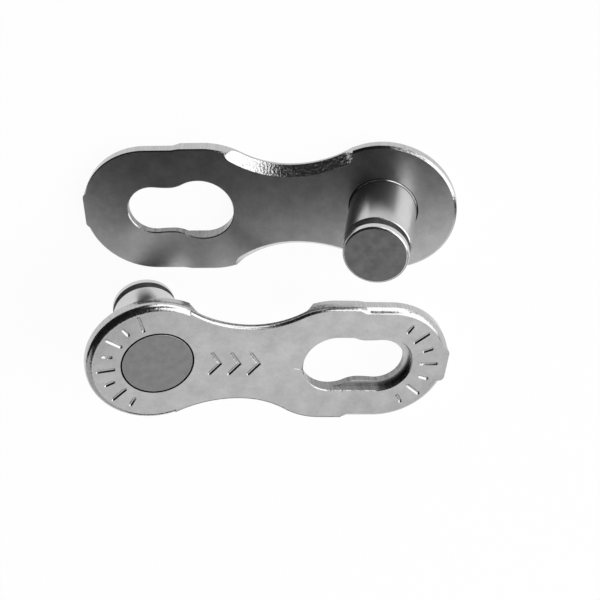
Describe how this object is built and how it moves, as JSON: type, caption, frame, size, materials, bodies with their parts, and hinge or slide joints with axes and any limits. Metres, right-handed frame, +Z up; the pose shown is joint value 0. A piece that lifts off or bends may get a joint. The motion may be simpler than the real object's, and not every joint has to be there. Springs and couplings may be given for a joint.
{
  "type": "chain connecting link",
  "caption": "Quick link of a bicycle chain, drawn apart: half links with a waisted plate, a riveted pin with a locking groove, and a keyhole slot with a recess.",
  "frame": {"origin": "centre of the pair's bounding box, on the surface that both half links lie on", "axes": "+X along the row, from the upright half link's pin end towards its slot end; +Y from the upright half link towards the turned one; +Z up from the surface, along the upright pin"},
  "size_m": [0.0208, 0.0172, 0.0069],
  "materials": {
    "plate_steel": "nickel-plated stamped steel, satin",
    "pin_steel": "turned and hardened steel, dull ends"
  },
  "bodies": {
    "root": {"upright_half_plate": "plate_steel", "upright_half_pin": "pin_steel", "turned_half_plate": "plate_steel", "turned_half_pin": "pin_steel"}
  },
  "joints": []
}
